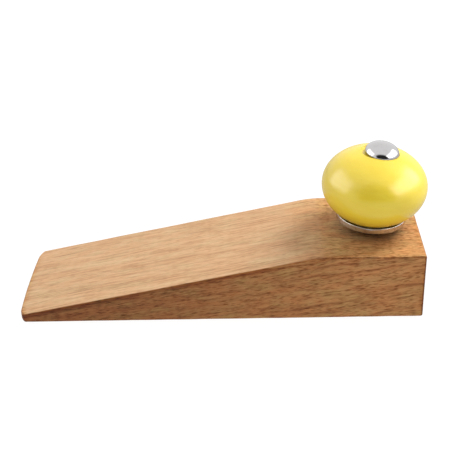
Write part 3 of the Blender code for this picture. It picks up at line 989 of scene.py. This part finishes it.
# %% Turn the finial
FINIAL_RADIUS, FINIAL_LOW, FINIAL_HIGH = reach_of("finial")
finial_outline = outline_points("finial")
FINIAL_RIM_Z = min(height for radius, height in finial_outline if radius > 0.9 * FINIAL_RADIUS)
collar_radii = [radius for radius, height in finial_outline if height < FINIAL_LOW + TIP]
FINIAL_COLLAR_RADIUS, THREAD_BORE_RADIUS = max(collar_radii), min(collar_radii)
FINIAL_THREAD_TOP = reach_of("threaded_stud")[2] + CLEARANCE
RIM_EDGE = 0.25 * MM
FINIAL_WALL = 0.7 * MM
DOME_TALLER = 0.4 * MM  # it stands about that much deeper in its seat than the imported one
DOME_NARROWER = 0.4 * MM  # in radius
FINIAL_CROWN_Z = FINIAL_HIGH + DOME_TALLER
DOME_RADIUS = FINIAL_RADIUS - DOME_NARROWER
dome_reach = (DOME_RADIUS, FINIAL_CROWN_Z - FINIAL_RIM_Z - RIM_EDGE)
finial_profile = [
    *arc((0, FINIAL_RIM_Z + RIM_EDGE), dome_reach, 90, 0, 28),
    (DOME_RADIUS - RIM_EDGE, FINIAL_RIM_Z),
    (DOME_RADIUS - FINIAL_WALL, FINIAL_RIM_Z),
    (DOME_RADIUS - FINIAL_WALL, FINIAL_RIM_Z + FINIAL_WALL),
    (FINIAL_COLLAR_RADIUS, FINIAL_RIM_Z + FINIAL_WALL),
    (FINIAL_COLLAR_RADIUS, FINIAL_LOW),
    (THREAD_BORE_RADIUS, FINIAL_LOW),
    (THREAD_BORE_RADIUS, FINIAL_THREAD_TOP),
    (0, FINIAL_THREAD_TOP),
]
finial_profile[0] = (0, FINIAL_CROWN_Z)
finial_shape = turned_shape(rounded(finial_profile, 0.12 * MM), 112)

# %% [markdown]
# ## The dome's seat
# The dome isn't quite square on its stud: it sits slightly askew. So the dome is tilted a few degrees and
# lowered half a millimetre, and the seat under it is ground to match. Only the lower end of the collar
# stays on the bolt. The rest leans over to meet the dome, so inside, where nobody sees it, the collar
# cuts into the ceramic's bore and into the stud.

# %% Set the dome a little askew, in a seat ground for it
DOME_ASKEW = math.radians(4.0)  # towards the heel
DOME_FORWARD = math.radians(3.0)  # towards the near side
DOME_PIVOT = Vector((0, 0, FINIAL_RIM_Z - 12 * MM))
DOME_SHIFT = Vector((0.5 * MM, 0.2 * MM, -0.5 * MM))
DOME_SEAT_ROOM = 0.12 * MM
GRINDER_BELOW_RIM = 0.05 * MM
askew = Matrix.Translation(DOME_PIVOT + DOME_SHIFT) @ Matrix.Rotation(DOME_ASKEW, 4, "Y")
askew = askew @ Matrix.Rotation(DOME_FORWARD, 4, "X")
askew = askew @ Matrix.Translation(-DOME_PIVOT)
for corner in finial_shape.verts:
    if corner.co.z > FINIAL_RIM_Z - TIP:
        corner.co = askew @ corner.co
make_piece("domed_finial", finial_shape, CHROME, "knob", "finial")
grinder = [
    (0, FINIAL_HIGH + MM),
    (DOME_RADIUS + DOME_SEAT_ROOM, FINIAL_HIGH + MM),
    (DOME_RADIUS + DOME_SEAT_ROOM, FINIAL_RIM_Z - GRINDER_BELOW_RIM),
    (0, FINIAL_RIM_Z - GRINDER_BELOW_RIM),
]
cut_with(knob, turned_shape(grinder, 144), place=KNOB_FRAME @ askew)
print("knob faces:", len(knob.data.polygons))

# %% Turn the saucer
SAUCER_RADIUS, SAUCER_LOW, SAUCER_HIGH = reach_of("ferrule")
SAUCER_FOOT_RADIUS = max(r for r, height in outline_points("ferrule") if height < SAUCER_LOW + TIP / 2)
SAUCER_WALL = 0.6 * MM
COVE_REACH = 4.0 * MM
COVE_RISE = 2.85 * MM
LIP_ROUND = 0.12 * MM
# the saucer's chrome is painted dark below its lip, as painted shade
SAUCER_CHROME = bright_chrome("saucer_chrome", shade_below=SAUCER_LOW + COVE_RISE)
cove_middle = (SAUCER_FOOT_RADIUS + COVE_REACH, SAUCER_LOW)
saucer_profile = [
    (SAUCER_RADIUS - SAUCER_WALL, SAUCER_HIGH),
    (SAUCER_RADIUS, SAUCER_HIGH),
    (SAUCER_RADIUS, SAUCER_HIGH - 2.5 * LIP_ROUND),
    (SAUCER_RADIUS, SAUCER_LOW + COVE_RISE + 2.5 * LIP_ROUND),
    (SAUCER_RADIUS, SAUCER_LOW + COVE_RISE),
    *arc(cove_middle, (COVE_REACH, COVE_RISE), 90, 180, 16),
    (THREAD_BORE_RADIUS, SAUCER_LOW),
    (THREAD_BORE_RADIUS, SAUCER_LOW + SAUCER_WALL),
    *arc(cove_middle, (COVE_REACH + SAUCER_WALL, COVE_RISE + SAUCER_WALL), 170, 92, 16),
]
saucer_shape = turned_shape(rounded(saucer_profile, LIP_ROUND), 128)
make_piece("spun_saucer", saucer_shape, SAUCER_CHROME, "knob", "ferrule")

# %% [markdown]
# ## The hardware underneath
# The stud, nuts and washers are zinc-plated steel: greyer than chrome, slightly blue with a yellow
# bloom, and much rougher. They only show from below.

# %% Zinc plate, rubber and plastic
ZINC_BLOOM = [(0.35, (0.52, 0.55, 0.60)), (0.52, (0.62, 0.62, 0.62)), (0.68, (0.66, 0.61, 0.46))]


def zinc_plate():
    """Grained plate whose passivation blooms from blue to yellow."""
    material, zinc = new_finish("zinc_plate")
    place = zinc.object_place()
    bloom = zinc.noise(place, 2.4, 3.0, 0.6)
    grains = zinc.noise(place, 0.35, 2.0, 0.6)
    colour = zinc.add("ShaderNodeValToRGB", {"stops": ZINC_BLOOM}, {"Fac": bloom})
    close_finish(zinc, colour, 0.26 + 0.22 * grains, grains, 0.02 * MM, **{"Metallic": 1.0})
    return material


def plain_finish(name, pale, dark, size, rough, depth):
    """A soft, even material with a fine grain: rubber or moulded plastic."""
    material, recipe = new_finish(name)
    place = recipe.object_place()
    grain = recipe.noise(place, size, 3.0, 0.6)
    close_finish(recipe, recipe.mixed(grain, dark, pale), rough + 0.15 * grain, grain, depth)
    return material


ZINC = zinc_plate()
RUBBER_PALE, RUBBER_DARK = rgb(0.045, 0.045, 0.048), rgb(0.02, 0.02, 0.02)
PLASTIC_PALE, PLASTIC_DARK = rgb(0.78, 0.76, 0.70), rgb(0.70, 0.68, 0.62)
RUBBER = plain_finish("black_rubber", RUBBER_PALE, RUBBER_DARK, size=0.4, rough=0.65, depth=0.03 * MM)
PLASTIC = plain_finish("washer_plastic", PLASTIC_PALE, PLASTIC_DARK, size=1.2, rough=0.4, depth=0.01 * MM)

# %% Washers


def make_washer(name, node, finish, ease, trim=0.0, place=KNOB_FRAME):
    """A flat ring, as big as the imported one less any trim, with its edges eased."""
    radius, low, high = reach_of(node)
    radius -= trim
    bore = min(outline_points(node))[0]
    profile = [(radius, high), (radius, low), (bore, low), (bore, high)]
    ring = turned_shape(rounded(profile, ease), 96)
    make_piece(name, ring, finish, "knob", node, place=place)


make_washer("flat_steel_washer", "flat_washer", ZINC, 0.2 * MM)
make_washer("lock_ring", "lock_washer", ZINC, 0.12 * MM)
GASKET_LIFT = 0.45 * MM  # it lies on the ground seat, above the dimple it was made for
GASKET_TRIM = 0.3 * MM  # so that it fits inside the narrower dome
under_dome = KNOB_FRAME @ askew @ Matrix.Translation((0, 0, GASKET_LIFT))
make_washer(
    "finial_gasket", "finial_washer", PLASTIC, 0.1 * MM, trim=GASKET_TRIM, place=under_dome
)
make_washer("rubber_gasket", "ferrule_gasket", RUBBER, 0.3 * MM)

# %% [markdown]
# ## The split spring washer
# A spring washer is a length of square wire coiled once, so its ends stand a little apart. Sweeping
# the wire's section round almost a full turn, with a small climb, gives both the gap and the climb.

# %% Coil the spring washer
SPRING_OUTER, SPRING_LOW, SPRING_HIGH = reach_of("spring_washer")
SPRING_BORE = min(outline_points("spring_washer"))[0]
SPRING_THICKNESS = 1.0 * MM
SPRING_CLIMB = SPRING_HIGH - SPRING_LOW - SPRING_THICKNESS
SPRING_STEPS = 72
SPRING_GAP = math.radians(14)


def coil_shape(section, start, sweep, steps, climb):
    """A closed section swept part of the way round the bolt while it climbs, with both ends closed."""
    shape = bmesh.new()
    rings = []
    for step in range(steps + 1):
        angle = start + sweep * step / steps
        lift = climb * step / steps
        rings.append(
            [shape.verts.new((r * math.cos(angle), r * math.sin(angle), z + lift)) for r, z in section]
        )
    for before, after in zip(rings, rings[1:]):
        for index in range(len(section)):
            following = (index + 1) % len(section)
            shape.faces.new([before[index], before[following], after[following], after[index]])
    shape.faces.new(rings[0][::-1])
    shape.faces.new(rings[-1])
    return shape


spring_section = rounded(
    [
        (SPRING_OUTER, SPRING_LOW + SPRING_THICKNESS),
        (SPRING_OUTER, SPRING_LOW),
        (SPRING_BORE, SPRING_LOW),
        (SPRING_BORE, SPRING_LOW + SPRING_THICKNESS),
    ],
    0.15 * MM,
)
coil = coil_shape(spring_section, SPRING_GAP / 2, 2 * math.pi - SPRING_GAP, SPRING_STEPS, SPRING_CLIMB)
make_piece("split_washer", coil, ZINC, "knob", "spring_washer")

# %% [markdown]
# ## Nuts and the stud
# A nut is a hexagonal bar, faced in a lathe, so its corners are cut by a cone and show an arc on each
# flat. Cutting a hexagon with a turned blank gives those arcs. The stud is cut with a real screw
# thread: a grid whose lines climb one pitch in each turn, trimmed by a chamfered rod.

# %% Make a nut


def make_nut(name, node):
    """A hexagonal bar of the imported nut's size, cut by a turned blank that has its bore and its cones."""
    corner, low, high = reach_of(node)
    flat = corner * math.cos(math.radians(30))
    bore = min(outline_points(node))[0]
    bar = bmesh.new()
    bmesh.ops.create_cone(
        bar,
        cap_ends=True,
        segments=6,
        radius1=corner,
        radius2=corner,
        depth=high - low,
        matrix=Matrix.Translation((0, 0, (low + high) / 2)),
    )
    nut = make_piece(name, bar, ZINC, "knob", node)
    slant = (corner - flat) * math.tan(math.radians(30))
    mouth = 0.35 * MM
    blank = [
        (flat * 0.96, high),
        (corner * 1.02, high - 1.6 * slant),
        (corner * 1.02, low + 1.6 * slant),
        (flat * 0.96, low),
        (bore + mouth, low),
        (bore, low + mouth),
        (bore, high - mouth),
        (bore + mouth, high),
    ]
    cut_with(nut, turned_shape(blank, 96), "INTERSECT")


make_nut("hex_nut_m5", "hex_nut")
make_nut("thin_lock_nut", "lock_nut")

# %% Cut the stud's thread
THREAD_PITCH = 0.8 * MM
THREAD_STEPS = 24
THREAD_CREST, STUD_LOW, STUD_HIGH = reach_of("threaded_stud")
THREAD_ROOT = THREAD_CREST - 0.46 * MM
THREAD_FORM = ((0.0, THREAD_ROOT), (0.12, THREAD_ROOT), (0.5, THREAD_CREST), (0.62, THREAD_CREST))


def thread_shape(low, high):
    """A screwed rod, a turn longer at each end than the stud, so that it can be trimmed to length."""
    turns = math.ceil((high - low) / THREAD_PITCH) + 3
    shape = bmesh.new()
    columns = []
    for step in range(THREAD_STEPS):
        angle = 2 * math.pi * step / THREAD_STEPS
        column = []
        for turn in range(turns):
            for share, radius in THREAD_FORM:
                height = low + THREAD_PITCH * (turn - 1.5 + share + step / THREAD_STEPS)
                column.append(shape.verts.new((radius * math.cos(angle), radius * math.sin(angle), height)))
        columns.append(column)
    for step, here in enumerate(columns):
        is_last = step + 1 == THREAD_STEPS
        there = columns[0][len(THREAD_FORM):] if is_last else columns[step + 1]
        for row in range(len(there) - 1):
            shape.faces.new([here[row], there[row], there[row + 1], here[row + 1]])
    rims = [edge for edge in shape.edges if edge.is_boundary]
    bmesh.ops.holes_fill(shape, edges=rims, sides=0)
    bmesh.ops.recalc_face_normals(shape, faces=shape.faces)
    return shape


stud = make_piece(
    "screwed_stud", thread_shape(STUD_LOW, STUD_HIGH), ZINC, "knob", "threaded_stud"
)
END_CHAMFER = 0.5 * MM
rod = [
    (0, STUD_HIGH),
    (THREAD_CREST - END_CHAMFER, STUD_HIGH),
    (THREAD_CREST + MM, STUD_HIGH - END_CHAMFER - MM),
    (THREAD_CREST + MM, STUD_LOW + END_CHAMFER + MM),
    (THREAD_CREST - END_CHAMFER, STUD_LOW),
    (0, STUD_LOW),
]
cut_with(stud, turned_shape(rod, 48), "INTERSECT")
